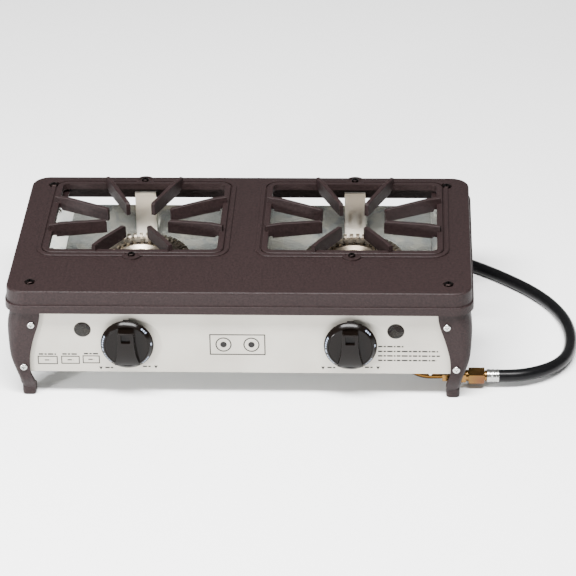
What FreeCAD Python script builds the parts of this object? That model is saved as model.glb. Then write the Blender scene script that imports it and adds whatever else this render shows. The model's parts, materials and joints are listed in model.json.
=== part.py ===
"""Two-burner camp stove: a cast iron hob plate on four legs, gas burners, valves, hose and regulator.

Millimetres. +X is the user's right, +Y the back and +Z up. Shapes are drawn about the middle of the
plate, with the floor at z = 0, and every solid is then moved back by SHIFT_Y, so that the origin is
under the middle of the stove's own box, knobs included. One STEP file is written for each piece.
"""
import FreeCAD, Part
import math
import os

V = FreeCAD.Vector
X_AXIS = V(1, 0, 0)
Y_AXIS = V(0, 1, 0)
Z_AXIS = V(0, 0, 1)
SIDES = {"left": -1, "right": 1}

# ---------------------------------------------------------------- driving sizes
PLATE_W = 635.0              # hob plate, left to right
PLATE_D = 356.0              # hob plate, front to back
STAND_H = 167.0              # floor to the flat top of the plate
PLATE_T = 7.0                # thickness of the plate's top
SKIRT_H = 32.3               # skirt, from the top down
SKIRT_WALL = 5.0
CORNER_R = 28.0
BAND_H = 11.5                # thicker band along the skirt's lower edge
BAND_STEP = 1.5              # how far the band stands out
SKIRT_DRAFT = 1.5            # lean of the skirt above the band
TOP_EDGE_R = 3.0

FIT = 0.3                    # gap between castings that drop together
RUN_FIT = 0.05               # radial gap of a turning or sliding fit
HOLE_FIT = 0.25              # radial gap of a screw in its clearance hole
THREAD_FIT = 0.05            # radial gap left for a thread

BURNER_X = 151.5             # burner centres, either side of the middle
BURNER_Y = 44.6              # burner centres, behind the middle
GRATE_W = 234.0              # clear opening of a grate ring
GRATE_D = 202.5
GRATE_R = 8.0
RING_W = 8.5                 # width of the grate ring
RING_RISE = 3.0              # ring above the plate's top
RING_H = 9.0
LEDGE_T = 5.0                # ledge under the ring
LEDGE_W = 5.0
LEDGE_WALL = 3.0             # wall outside the ledge, under the plate
RIDGE_IN = 10.5              # raised ridge round a grate, from the clear opening outwards
RIDGE_OUT = 16.5
RIDGE_RISE = 2.2
EAR_OFFSET = 14.0            # screw ear of a grate, from the clear opening
EAR_R = 9.0

FINGER_T = 6.0
FINGER_RISE = 12.0           # finger's outer end above the plate
FINGER_DROP = 6.0            # how much lower its inner end is
FINGER_DEPTH = 20.0          # depth at the outer end
FINGER_TIP_DEPTH = 19.0      # depth at the inner end
FINGER_LAND = 14.0           # level stretch at the outer end, where a pan stands
FINGER_CHAMFER = 2.5
FINGER_FRONT_X = (51.0, 17.5)   # front and rear fingers: outer and inner end, from the burner's middle
FINGER_FRONT_IN = 34.0
FINGER_SIDE_Y = (43.0, 17.6)    # side fingers: outer and inner end
FINGER_SIDE_IN = 44.0
EAR_SINK = 1.5                  # ear's top below the ring's top
EAR_BOSS = 4.0                  # width of the plate's boss round an ear

PANEL_FACE = 12.0            # front panel's face, behind the plate's front edge
PANEL_T = 1.2
PANEL_HALF_W = PLATE_W / 2 - 16.5
PANEL_BOTTOM = 38.0
PANEL_TOP = STAND_H - 27.0
PANEL_FLANGE = 12.0
MATCH_HOLE_R = 11.7
MATCH_HOLE_X = BURNER_X + 61.1
MATCH_HOLE_Z = 103.8

TRAY_BOTTOM = 69.0
TRAY_T = 1.0
TRAY_HALF_W = PLATE_W / 2 - 55.5
TRAY_FRONT = 16.0 - PLATE_D / 2
TRAY_NOTCH_BACK = 74.0 - PLATE_D / 2   # notches for the valves and the mixing tubes' mouths
TRAY_NOTCH_W = 46.0
TRAY_SIDE_H = 30.0
TRAY_LIP_H = 4.0
TRAY_REAR_TOP = STAND_H - 41.0

LEG_T = 6.0                  # wall of a leg
LEG_GAP = 0.2                # leg flange to the sheet behind it
LEG_PAD_T = 8.0
LEG_PAD_W = 44.0
SPOT_FACE_R = 6.0
FOOT_SIZE = 18.5
FOOT_INSET_X = 17.6
FOOT_INSET_Y = 13.0
LEG_SCREW_X = (PLATE_W / 2 - 36.0, PLATE_W / 2 - 22.7)
LEG_SCREW_Z = (114.2, 48.9)

M4_R = 2.0
M5_R = 2.5
M6_R = 3.0
PLATE_SCREW_X = PLATE_W / 2 - 34.5
PLATE_SCREW_Y = PLATE_D / 2 - 30.5
RECESS_R = 7.5
RECESS_DEPTH = 1.6

KNOB_Z = 86.0
KNOB_R = 36.0
KNOB_GAP = 6.5               # panel to the knob's skirt
KNOB_SKIRT_H = 9.0
KNOB_FACE_R = 30.0
KNOB_BAR_RISE = 13.5
KNOB_WALL = 2.5
KNOB_BORE = 9.3              # depth of the stem's socket
BAR_TOP = 22.5               # grip bar's ends, from the knob's middle
BAR_FOOT = -26.0
BAR_FOOT_RISE = 3.5
POCKET_HALF_W = 7.0
POCKET_Z = (10.5, 20.5)
PUSH = 3.0                   # how far a knob is pressed in before it turns

VALVE_R = 11.0
VALVE_BACK = 38.0            # panel's face to the back of the valve body
PLUG_BACK = 20.0             # panel's face to the front of the plug's seat
PLUG_L = 14.0
PORT_BACK = 10.5             # plug's front to its gas port
NECK_R = 6.0                 # threaded neck through the panel
STEM_R = 3.2
STEM_FLAT = 1.6              # flat for the knob, from the stem's axis
CHAMBER_R = 7.5
BONNET_T = 8.0
PLUG_R = 6.0
GAS_WAY_R = 2.0              # drilled ways in a valve body
NIPPLE_R = 4.5               # nipple that goes into the manifold
JET_R = 3.5                  # thread of a jet
JET_THREAD_L = 4.0
WASHER_T = 1.0
SPRING_WIRE = 0.55
SPRING_R = 4.8
SPRING_TURNS = 3.0
COLLAR_R = 5.0               # collar of a stem, behind the bonnet
COLLAR_T = 1.3
NECK_OUT = 5.0               # panel's face to the end of the threaded neck
NECK_NUT_AF = 17.0
NECK_NUT_T = 3.5

MANIFOLD_R = 8.0
MANIFOLD_WALL = 2.0
MANIFOLD_Z = 58.0
MANIFOLD_X = (-BURNER_X - 16.5, BURNER_X + 20.5)

BURNER_R = 71.0              # outer ring of ports
BURNER_RING_Z = 107.0        # top of the outer ring
INNER_RING_R = 40.0
INNER_RING_RISE = 5.5
BOWL_R = BURNER_R - 7.0
BOWL_BOTTOM = 74.0
BOWL_WALL = 3.5
CAP_SEAT = 99.0              # top of the bowl's rim
OUTER_PORTS = 48
INNER_PORTS = 20
VENTURI_R = 12.0
VENTURI_WALL = 2.5
BELL_R = 17.0
BELL_FRONT = 54.0 - PLATE_D / 2
BELL_L = 14.0
AIR_WINDOW = (3.0, 9.0)      # side windows of the mouth, from its front
AIR_WINDOW_H = 16.0
BURNER_POST_R = 7.0          # post inside the bowl for the cap's screw
LUG_HALF_W = 13.0            # lug at the back of the bowl
LUG_REACH = 21.0
LUG_T = 5.0
LUG_SCREW = 12.0             # its screw, from the bowl's rim
SHUTTER_T = 1.2
SHUTTER_L = 12.0             # its rim
SHUTTER_HOLE_R = 7.0

STRAP_W = 30.0
STRAP_T = 2.0
STRAP_Y = BURNER_Y + GRATE_D / 2 + 6.15
STRAP_SEAT = 84.0            # height at which the strap carries the burner
STRAP_HOOK = 19.0

TUBE_R = 4.75                # 3/8 in copper tube
INLET_Y = -133.0
INLET_Z = 17.0
BRACKET_X = PLATE_W / 2 - 19.5
BRACKET_T = 2.5
FLARE_R = 7.9                # 5/8 in flare thread
FLARE_TIP_X = PLATE_W / 2 - 0.5
HOSE_NUT_X = (FLARE_TIP_X - 5.0, FLARE_TIP_X + 17.0)
HOSE_NUT_AF = 22.2
FERRULE_X = (FLARE_TIP_X + 20.0, FLARE_TIP_X + 37.0)
FERRULE_R = 9.2
HOSE_R = 8.75

REG_X = PLATE_W / 2 - 508.5   # regulator, behind the stove
REG_Y = 262.0
REG_Z = 22.2
REG_R = 31.0
REG_SCREW_R = 1.5
WHEEL_R = 22.0

# ---------------------------------------------------------------- worked-out sizes
SKIRT_BOTTOM = STAND_H - SKIRT_H
UNDERSIDE = STAND_H - PLATE_T
FRONT = -PLATE_D / 2
BACK = PLATE_D / 2
PANEL_Y = FRONT + PANEL_FACE
KNOB_BACK = PANEL_Y - KNOB_GAP
KNOB_FRONT = KNOB_BACK - KNOB_SKIRT_H - KNOB_BAR_RISE
SHIFT_Y = -(KNOB_FRONT + BACK) / 2
RING_TOP = STAND_H + RING_RISE
RING_BOTTOM = RING_TOP - RING_H
LEDGE_BOTTOM = RING_BOTTOM - LEDGE_T
FINGER_TOP = STAND_H + FINGER_RISE
GRATE_HALF_D = GRATE_D / 2
EAR_Y = GRATE_HALF_D + EAR_OFFSET
KNOB_X = BURNER_X
VALVE_REAR = PANEL_Y + VALVE_BACK
SEAT_Y = PANEL_Y + PLUG_BACK
MANIFOLD_Y = SEAT_Y + PORT_BACK
LEG_FACE = PANEL_FACE - LEG_T - LEG_GAP
LEDGE_OUT = RING_W + FIT + LEDGE_WALL
LEG_CLEAR_Y = FRONT + 34.5   # just behind the leg's side flange, near the floor
BRACKET_SCREW = (BRACKET_X - 38.0, PANEL_Y + 7.5)
BONNET_Y = (PANEL_Y + PANEL_T, PANEL_Y + PANEL_T + BONNET_T)

# Height of a section; how far its outer and inner edges lie inside the plate's side; the same two
# from the plate's front; and the radius of its outer corner.
LEG_SECTIONS = [
    (8.0, 17.4, 36.0, LEG_FACE + 9.0, 33.0, 6.5),
    (15.0, 17.6, 36.5, LEG_FACE + 6.0, 32.0, 6.5),
    (22.0, 15.8, 36.0, LEG_FACE + 3.0, 31.0, 6.5),
    (29.0, 14.8, 34.0, LEG_FACE + 0.8, 30.5, 7.0),
    (36.0, 12.6, 31.5, LEG_FACE, 30.0, 7.5),
    (47.0, 8.8, 30.5, LEG_FACE, 31.0, 8.0),
    (60.0, 5.0, 31.0, LEG_FACE, 32.0, 9.0),
    (78.0, 2.8, 34.5, LEG_FACE, 35.0, 12.0),
    (96.0, 1.8, 39.5, LEG_FACE, 39.0, 16.0),
    (116.0, 2.8, 46.0, LEG_FACE, 43.0, 19.0),
    (130.0, 6.0, 48.0, LEG_FACE, 44.0, 21.0),
    (UNDERSIDE - 12.0, 8.0, 49.5, LEG_FACE, 45.0, 20.0),
    (UNDERSIDE - 2.0, 9.0, 50.0, LEG_FACE + 0.4, 46.0, 18.0),
]


# ---------------------------------------------------------------- helpers
def box(x, y, z):
    """Block between pairs of limits."""
    return Part.makeBox(x[1] - x[0], y[1] - y[0], z[1] - z[0], V(x[0], y[0], z[0]))


def rod(base, direction, radius, length):
    return Part.makeCylinder(radius, length, V(*base), direction)


def tube(base, direction, outer, inner, length):
    return rod(base, direction, outer, length).cut(rod(base, direction, inner, length))


def fuse(shapes):
    whole = shapes[0].multiFuse(shapes[1:]) if len(shapes) > 1 else shapes[0]
    return whole.removeSplitter()


def cut(shape, tools):
    for tool in tools:
        shape = shape.cut(tool)
    return shape


def group(solids):
    """Several separate solids kept in one node."""
    return Part.makeCompound(solids)


def round_rect(centre, width, depth, radius, z):
    """Closed wire of a rectangle with rounded corners, level at height z."""
    cx, cy = centre
    hx = width / 2 - radius
    hy = depth / 2 - radius
    edges = []
    corners = [(hx, hy, 0), (-hx, hy, 90), (-hx, -hy, 180), (hx, -hy, 270)]
    arcs = []
    for x, y, start in corners:
        points = []
        for angle in (start, start + 45, start + 90):
            a = math.radians(angle)
            points.append(V(cx + x + radius * math.cos(a), cy + y + radius * math.sin(a), z))
        arcs.append(points)
    for i, points in enumerate(arcs):
        edges.append(Part.Arc(*points).toShape())
        edges.append(Part.LineSegment(points[2], arcs[(i + 1) % 4][0]).toShape())
    return Part.Wire(edges)


def round_block(centre, width, depth, radius, z):
    face = Part.Face(round_rect(centre, width, depth, radius, z[0]))
    return face.extrude(V(0, 0, z[1] - z[0]))


def fillet_at(shape, radius, test):
    """Round the edges whose middle point passes the test."""
    edges = [e for e in shape.Edges if test(e.BoundBox.Center, e)]
    return shape.makeFillet(radius, edges)


def flat_edge(z):
    """Test for edges that lie level at height z."""
    return lambda c, e: abs(c.z - z) < 1e-4 and e.BoundBox.ZLength < 1e-4


def prism(points, direction):
    wire = Part.makePolygon([V(*p) for p in points] + [V(*points[0])])
    return Part.Face(wire).extrude(direction)


def hexagon(base, direction, across_flats, length, turn=0.0):
    """Hexagonal bar whose axis starts at base and runs along a row axis."""
    corner_r = across_flats / 2 / math.cos(math.radians(30))
    points = []
    for i in range(6):
        a = math.radians(60 * i + turn)
        points.append(V(corner_r * math.cos(a), corner_r * math.sin(a), 0))
    bar = Part.Face(Part.makePolygon(points + [points[0]])).extrude(V(0, 0, length))
    bar.Placement = FreeCAD.Placement(V(*base), FreeCAD.Rotation(Z_AXIS, direction))
    return bar


def revolve(profile, centre, axis=Z_AXIS):
    """Turn a profile of (radius, height) points round an axis through centre."""
    wire = Part.makePolygon([V(r, 0, h) for r, h in profile] + [V(profile[0][0], 0, profile[0][1])])
    solid = Part.Face(wire).revolve(V(0, 0, 0), Z_AXIS, 360)
    solid.Placement = FreeCAD.Placement(V(*centre), FreeCAD.Rotation(Z_AXIS, axis))
    return solid


def cross_recess(head_r, depth):
    """Two crossed slots, to cut in a screw head whose top is at z = 0."""
    arm = head_r * 0.55
    slot = head_r * 0.14
    bars = [box((-arm, arm), (-slot, slot), (-depth, 1)), box((-slot, slot), (-arm, arm), (-depth, 1))]
    return fuse(bars)


def pan_screw(seat, direction, radius, length):
    """Pan head screw: the head stands up from its seat, the shank runs the other way."""
    head_r = radius * 2.0
    head_h = radius * 1.3
    head = Part.makeCylinder(head_r, head_h)
    head = fillet_at(head, head_h * 0.55, flat_edge(head_h))
    recess = cross_recess(head_r, head_h * 0.6)
    recess.translate(V(0, 0, head_h))
    screw = fuse([head, rod((0, 0, -length), Z_AXIS, radius, length)]).cut(recess)
    screw.Placement = FreeCAD.Placement(V(*seat), FreeCAD.Rotation(Z_AXIS, direction))
    return screw


def hex_nut(seat, direction, radius):
    """Nut whose face lies on its seat and whose body runs along direction."""
    height = radius * 1.6
    nut = hexagon(seat, direction, radius * 3.3, height)
    return nut.cut(rod(seat, direction, radius + THREAD_FIT, height))


def bent_path(points):
    """Straight runs joined by tangent arcs, each as large as its two runs allow; also the radii."""
    points = [V(*p) for p in points]
    edges = []
    radii = []
    start = points[0]
    for before, corner, after in zip(points, points[1:], points[2:]):
        into = corner - before
        out = after - corner
        turn = into.getAngle(out)
        set_back = 0.45 * min(into.Length, out.Length)
        radius = set_back / math.tan(turn / 2)
        into.normalize()
        out.normalize()
        first = corner - into * set_back
        last = corner + out * set_back
        inward = out - into
        inward.normalize()
        middle = corner + inward * (radius / math.cos(turn / 2) - radius)
        edges.append(Part.LineSegment(start, first).toShape())
        edges.append(Part.Arc(first, middle, last).toShape())
        radii.append(radius)
        start = last
    edges.append(Part.LineSegment(start, points[-1]).toShape())
    return Part.Wire(edges), radii


def swept_tube(points, outer, inner=0.0):
    """Round tube along a bent path."""
    wire, radii = bent_path(points)
    start = V(*points[0])
    direction = V(*points[1]) - start

    def sweep(radius):
        ring = Part.Wire(Part.makeCircle(radius, start, direction))
        return wire.makePipeShell([ring], True, False)

    solid = sweep(outer)
    if inner:
        solid = solid.cut(sweep(inner))
    return solid, wire.Length, radii


# ---------------------------------------------------------------- hob plate and grates
def ring_outline(centre, grow, z):
    """Block round a grate's clear opening, grown by a margin."""
    return round_block(centre, GRATE_W + 2 * grow, GRATE_D + 2 * grow, GRATE_R + grow, z)


def ear_centres(centre):
    return [(centre[0], centre[1] + s * EAR_Y) for s in (-1, 1)]


def top_plate():
    band = round_block((0, 0), PLATE_W, PLATE_D, CORNER_R, (SKIRT_BOTTOM, SKIRT_BOTTOM + BAND_H))
    band = fillet_at(band, BAND_STEP * 0.8, flat_edge(SKIRT_BOTTOM + BAND_H))
    low = round_rect((0, 0), PLATE_W - 2 * BAND_STEP, PLATE_D - 2 * BAND_STEP,
                     CORNER_R - BAND_STEP, SKIRT_BOTTOM)
    inset = BAND_STEP + SKIRT_DRAFT
    high = round_rect((0, 0), PLATE_W - 2 * inset, PLATE_D - 2 * inset, CORNER_R - inset, STAND_H)
    upper = fillet_at(Part.makeLoft([low, high], True, True), TOP_EDGE_R, flat_edge(STAND_H))
    body = fuse([band, upper])
    wall = SKIRT_WALL
    body = body.cut(round_block((0, 0), PLATE_W - 2 * wall, PLATE_D - 2 * wall, CORNER_R - wall,
                                (SKIRT_BOTTOM, UNDERSIDE)))
    adds = []
    cuts = []
    for side in SIDES.values():
        centre = (side * BURNER_X, BURNER_Y)
        ridge = ring_outline(centre, RIDGE_OUT, (UNDERSIDE, STAND_H + RIDGE_RISE))
        ridge = fillet_at(ridge, RIDGE_RISE * 0.7, flat_edge(STAND_H + RIDGE_RISE))
        hollow = ring_outline(centre, RIDGE_IN, (UNDERSIDE, STAND_H + RIDGE_RISE))
        adds.append(ridge.cut(hollow))
        adds.append(ring_outline(centre, LEDGE_OUT, (LEDGE_BOTTOM, UNDERSIDE)))
        for x, y in ear_centres(centre):
            boss_h = STAND_H + RIDGE_RISE - LEDGE_BOTTOM
            adds.append(rod((x, y, LEDGE_BOTTOM), Z_AXIS, EAR_R + EAR_BOSS, boss_h))
            cuts.append(rod((x, y, RING_BOTTOM), Z_AXIS, EAR_R + FIT, RING_H))
            cuts.append(rod((x, y, LEDGE_BOTTOM), Z_AXIS, M5_R + HOLE_FIT, LEDGE_T))
        cuts.append(ring_outline(centre, RING_W + FIT, (RING_BOTTOM, STAND_H + RIDGE_RISE)))
        cuts.append(ring_outline(centre, RING_W + FIT - LEDGE_W, (LEDGE_BOTTOM, STAND_H)))
    for x, y in corner_places():
        cuts.append(rod((x, y, STAND_H - RECESS_DEPTH), Z_AXIS, RECESS_R, RECESS_DEPTH + RIDGE_RISE))
        cuts.append(rod((x, y, LEDGE_BOTTOM), Z_AXIS, M6_R + HOLE_FIT, STAND_H - LEDGE_BOTTOM))
    return cut(fuse([body] + adds), cuts)


def finger_places():
    """(outer, inner) ends of the eight fingers, from the middle of a grate."""
    places = []
    for sx in (-1, 1):
        for sy in (-1, 1):
            outer, inner = FINGER_FRONT_X
            places.append(((sx * outer, sy * GRATE_HALF_D), (sx * inner, sy * FINGER_FRONT_IN)))
            outer, inner = FINGER_SIDE_Y
            places.append(((sx * GRATE_W / 2, sy * outer), (sx * FINGER_SIDE_IN, sy * inner)))
    return places


def finger(centre, outer, inner):
    """One upright bar of a grate: level where the pan stands, then falling towards the flame."""
    start = V(centre[0] + outer[0], centre[1] + outer[1], 0)
    end = V(centre[0] + inner[0], centre[1] + inner[1], 0)
    along = end - start
    length = along.Length
    over = RING_W * 0.6
    top_in = FINGER_TOP - FINGER_DROP
    profile = [(-over, RING_BOTTOM + 1.0), (-over, FINGER_TOP), (FINGER_LAND, FINGER_TOP),
               (length - FINGER_CHAMFER, top_in), (length, top_in - FINGER_CHAMFER),
               (length, top_in - FINGER_TIP_DEPTH), (over, FINGER_TOP - FINGER_DEPTH),
               (over, RING_BOTTOM + 1.0)]
    bar = prism([(s, -FINGER_T / 2, z) for s, z in profile], V(0, FINGER_T, 0))
    bar = fillet_at(bar, 1.2, lambda c, e: c.z > FINGER_TOP - FINGER_DROP - 0.1 and abs(c.y) > 0.1)
    bar.Placement = FreeCAD.Placement(start, FreeCAD.Rotation(X_AXIS, along))
    return bar


def grate(side):
    centre = (side * BURNER_X, BURNER_Y)
    ring = ring_outline(centre, RING_W, (RING_BOTTOM, RING_TOP))
    ring = fillet_at(ring, 2.0, flat_edge(RING_TOP))
    ring = ring.cut(ring_outline(centre, 0.0, (RING_BOTTOM, RING_TOP)))
    parts = [ring]
    for x, y in ear_centres(centre):
        ear = rod((x, y, RING_BOTTOM), Z_AXIS, EAR_R, RING_H - EAR_SINK)
        parts.append(ear)
    for outer, inner in finger_places():
        parts.append(finger(centre, outer, inner))
    whole = fuse(parts)
    holes = [rod((x, y, RING_BOTTOM), Z_AXIS, M5_R + HOLE_FIT, RING_H) for x, y in ear_centres(centre)]
    return cut(whole, holes)


def all_ears():
    return [ear for side in SIDES.values() for ear in ear_centres((side * BURNER_X, BURNER_Y))]


def ear_grip(y):
    """Everything a grate screw holds together: ear, ledge and, at the back, the burner's strap."""
    return RING_H - EAR_SINK + LEDGE_T + (STRAP_T if y > BURNER_Y else 0.0)


def grate_screws():
    seat = RING_BOTTOM + RING_H - EAR_SINK
    return group([pan_screw((x, y, seat), Z_AXIS, M5_R, ear_grip(y) + 6.0) for x, y in all_ears()])


def grate_nuts():
    seat = RING_BOTTOM + RING_H - EAR_SINK
    return group([hex_nut((x, y, seat - ear_grip(y)), -Z_AXIS, M5_R) for x, y in all_ears()])


def corner_places():
    return [(sx * PLATE_SCREW_X, sy * PLATE_SCREW_Y) for sx in (-1, 1) for sy in (-1, 1)]


def plate_screws():
    seat = STAND_H - RECESS_DEPTH
    length = PLATE_T - RECESS_DEPTH + LEG_PAD_T + 3.0
    return group([pan_screw((x, y, seat), Z_AXIS, M6_R, length) for x, y in corner_places()])


# ---------------------------------------------------------------- legs
def corner_arc(x, y, radius, z):
    """Quarter arc that rounds an outward corner at (x, y), from the front face to the side."""
    k = radius * (1 - math.sqrt(0.5))
    return Part.Arc(V(x - radius, y, z), V(x - k, y + k, z), V(x, y + radius, z)).toShape()


def leg_section(z, outer_x, inner_x, outer_y, inner_y, corner_r):
    """L-shaped section of the front right leg, with its corner rounded inside and out."""
    x0 = PLATE_W / 2 - outer_x
    x1 = PLATE_W / 2 - inner_x
    y0 = FRONT + outer_y
    y1 = FRONT + inner_y
    inside_r = max(corner_r - LEG_T, 1.5)
    outer = corner_arc(x0, y0, corner_r, z)
    inner = corner_arc(x0 - LEG_T, y0 + LEG_T, inside_r, z)
    a, b = (v.Point for v in outer.Vertexes)
    d, c = (v.Point for v in inner.Vertexes)
    points = [b, V(x0, y1, z), V(x0 - LEG_T, y1, z), c]
    lines = [Part.LineSegment(p, q).toShape() for p, q in zip(points, points[1:])]
    points = [d, V(x1, y0 + LEG_T, z), V(x1, y0, z), a]
    lines_back = [Part.LineSegment(p, q).toShape() for p, q in zip(points, points[1:])]
    return Part.Wire([outer] + lines + [inner] + lines_back)


def front_right_leg():
    shank = Part.makeLoft([leg_section(*s) for s in LEG_SECTIONS], True, False)
    x1 = PLATE_W / 2 - FOOT_INSET_X
    y0 = FRONT + FOOT_INSET_Y
    middle = (x1 - FOOT_SIZE / 2, y0 + FOOT_SIZE / 2)
    foot = round_block(middle, FOOT_SIZE, FOOT_SIZE, 5.0, (0.0, 13.0))
    foot = fillet_at(foot, 2.5, flat_edge(0.0))
    pad_x = PLATE_W / 2 - 12.0
    pad_y = FRONT + LEG_FACE + 3.0
    pad = round_block((pad_x - LEG_PAD_W / 2, pad_y + LEG_PAD_W / 2), LEG_PAD_W, LEG_PAD_W, 14.0,
                      (UNDERSIDE - LEG_PAD_T, UNDERSIDE))
    ledge_room = ring_outline((BURNER_X, -BURNER_Y), LEDGE_OUT + FIT, (LEDGE_BOTTOM - FIT, UNDERSIDE))
    leg = fuse([shank, foot, pad.cut(ledge_room)])
    tools = [rod((PLATE_SCREW_X, -PLATE_SCREW_Y, UNDERSIDE - LEG_PAD_T - 4), Z_AXIS, M6_R + THREAD_FIT,
                 LEG_PAD_T + 5)]
    tools.append(box((PLATE_W / 2 - LEG_PAD_W - 20, PANEL_HALF_W + FIT),
                     (PANEL_Y - LEG_GAP, PANEL_Y + PANEL_T + FIT), (PANEL_BOTTOM - FIT, PANEL_TOP + FIT)))
    for x, z in zip(LEG_SCREW_X, LEG_SCREW_Z):
        tools.append(rod((x, FRONT, z), Y_AXIS, M5_R + HOLE_FIT, PANEL_FACE + 1.0))
        tools.append(rod((x, FRONT, z), Y_AXIS, SPOT_FACE_R, LEG_FACE))
    return cut(leg, tools)


def legs():
    """Four castings of one shape, mirrored to the four corners."""
    leg = front_right_leg()
    pieces = {"leg_front_right": leg, "leg_front_left": leg.mirror(V(0, 0, 0), X_AXIS)}
    pieces["leg_rear_right"] = leg.mirror(V(0, 0, 0), Y_AXIS)
    pieces["leg_rear_left"] = pieces["leg_front_left"].mirror(V(0, 0, 0), Y_AXIS)
    return pieces


def leg_screw_places():
    places = []
    for sx in (-1, 1):
        for x, z in zip(LEG_SCREW_X, LEG_SCREW_Z):
            places.append((sx * x, z))
    return places


def leg_screws():
    """Screws through the leg flanges, into the front panel and the tray's back wall."""
    screws = []
    for x, z in leg_screw_places():
        for sy in (-1, 1):
            face = sy * (-PANEL_Y + LEG_T + LEG_GAP)
            screws.append(pan_screw((x, face, z), V(0, sy, 0), M5_R, LEG_T + LEG_GAP + PANEL_T + 6.0))
    return group(screws)


def leg_nuts():
    nuts = []
    for x, z in leg_screw_places():
        nuts.append(hex_nut((x, PANEL_Y + PANEL_T, z), Y_AXIS, M5_R))
        nuts.append(hex_nut((x, -PANEL_Y - TRAY_T, z), -Y_AXIS, M5_R))
    return group(nuts)


# ---------------------------------------------------------------- sheet metal
def front_panel():
    half = PANEL_HALF_W
    sheet = box((-half, half), (PANEL_Y, PANEL_Y + PANEL_T), (PANEL_BOTTOM, PANEL_TOP))
    flange = box((-half + 30, half - 30), (PANEL_Y, PANEL_Y + PANEL_FLANGE),
                 (PANEL_BOTTOM, PANEL_BOTTOM + PANEL_T))
    panel = fuse([sheet, flange])
    panel = fillet_at(panel, PANEL_T * 0.8, lambda c, e: abs(c.y - PANEL_Y) < 1e-4
                      and abs(c.z - PANEL_BOTTOM) < 1e-4 and e.BoundBox.XLength > half)
    holes = []
    for side in SIDES.values():
        holes.append(((side * MATCH_HOLE_X, MATCH_HOLE_Z), MATCH_HOLE_R))
        holes.append(((side * KNOB_X, KNOB_Z), NECK_R + HOLE_FIT))
    for place in leg_screw_places():
        holes.append((place, M5_R + HOLE_FIT))
    tools = [rod((x, PANEL_Y - 1, z), Y_AXIS, r, PANEL_T + 2) for (x, z), r in holes]
    x, y = BRACKET_SCREW
    tools.append(rod((x, y, PANEL_BOTTOM - 1), Z_AXIS, M4_R + HOLE_FIT, PANEL_T + 2))
    return cut(panel, tools)


def burner_tray():
    """Sheet pan under the burners, with low sides and a back wall screwed to the rear legs."""
    rear = -PANEL_Y
    half = TRAY_HALF_W
    t = TRAY_T
    floor = box((-half, half), (TRAY_FRONT, rear), (TRAY_BOTTOM, TRAY_BOTTOM + t))
    walls = [floor]
    for side in SIDES.values():
        edge = sorted((side * half, side * (half - t)))
        walls.append(box(edge, (TRAY_FRONT, rear), (TRAY_BOTTOM, TRAY_BOTTOM + TRAY_SIDE_H)))
    walls.append(box((-half, half), (TRAY_FRONT, TRAY_FRONT + t), (TRAY_BOTTOM, TRAY_BOTTOM + TRAY_LIP_H)))
    notches = []
    for side in SIDES.values():
        x = side * BURNER_X
        xs = (x - TRAY_NOTCH_W / 2, x + TRAY_NOTCH_W / 2)
        walls.append(box((xs[0] - t, xs[1] + t), (TRAY_FRONT, TRAY_NOTCH_BACK + t),
                         (TRAY_BOTTOM, TRAY_BOTTOM + TRAY_LIP_H)))
        notches.append(box(xs, (TRAY_FRONT, TRAY_NOTCH_BACK), (TRAY_BOTTOM, TRAY_BOTTOM + TRAY_LIP_H)))
    walls.append(box((-PANEL_HALF_W, PANEL_HALF_W), (rear - t, rear), (PANEL_BOTTOM, TRAY_REAR_TOP)))
    holes = [rod((x, rear - t - 1, z), Y_AXIS, M5_R + HOLE_FIT, t + 2) for x, z in leg_screw_places()]
    return cut(fuse(walls), notches + holes)


# ---------------------------------------------------------------- burners
def radial_slots(centre, count, width, radii, z, turn=0.0):
    slots = []
    for i in range(count):
        slot = box(radii, (-width / 2, width / 2), z)
        slot.rotate(V(0, 0, 0), Z_AXIS, turn + 360.0 * i / count)
        slot.translate(V(centre[0], centre[1], 0))
        slots.append(slot)
    return slots


def burner_cap(side):
    """Cast cap with an outer and a raised inner ring of ports, hollow underneath."""
    centre = (side * BURNER_X, BURNER_Y)
    top = BURNER_RING_Z
    inner_top = top + INNER_RING_RISE
    r = INNER_RING_R
    roof = CAP_SEAT + 2.5
    profile = [(M5_R + HOLE_FIT, CAP_SEAT + 2.0), (M5_R + HOLE_FIT, top - 3.0), (13.0, top - 3.0),
               (14.0, top), (20.0, top), (21.0, top - 4.0), (r - 13.0, top - 4.0), (r - 7.5, top + 0.5),
               (r - 6.5, inner_top), (r, inner_top), (r + 1.0, top + 0.3), (BOWL_R - 2, top - 2.2),
               (BOWL_R - 0.5, top), (BURNER_R - 1.0, top), (BURNER_R, top - 1.0),
               (BURNER_R, CAP_SEAT - 0.5), (BOWL_R + FIT, CAP_SEAT - 0.5), (BOWL_R + FIT, CAP_SEAT),
               (BOWL_R - BOWL_WALL, CAP_SEAT), (BOWL_R - BOWL_WALL, roof), (r + 0.5, roof + 1.0),
               (r - 2.0, inner_top - 3.0), (r - 4.5, inner_top - 3.0), (r - 9.0, roof - 1.0),
               (8.0, roof - 1.0), (8.0, CAP_SEAT + 2.0)]
    cap = revolve(profile, (centre[0], centre[1], 0))
    slots = radial_slots(centre, OUTER_PORTS, 4.0, (BOWL_R - 6.0, BURNER_R + 1), (CAP_SEAT + 1.5, top + 1))
    slots += radial_slots(centre, INNER_PORTS, 6.5, (r - 9.0, r + 3), (top + 1.2, inner_top + 1), 9.0)
    slots += radial_slots(centre, 8, 4.0, (11.0, 23.0), (top - 2.4, top + 1), 22.5)
    return cap.cut(Part.makeCompound(slots))


def air_windows(x, radius):
    """Block that cuts both side windows of a mixing tube's mouth."""
    front, back = AIR_WINDOW
    return box((x - radius - 1, x + radius + 1), (BELL_FRONT + front, BELL_FRONT + back),
               (KNOB_Z - AIR_WINDOW_H / 2, KNOB_Z + AIR_WINDOW_H / 2))


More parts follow.
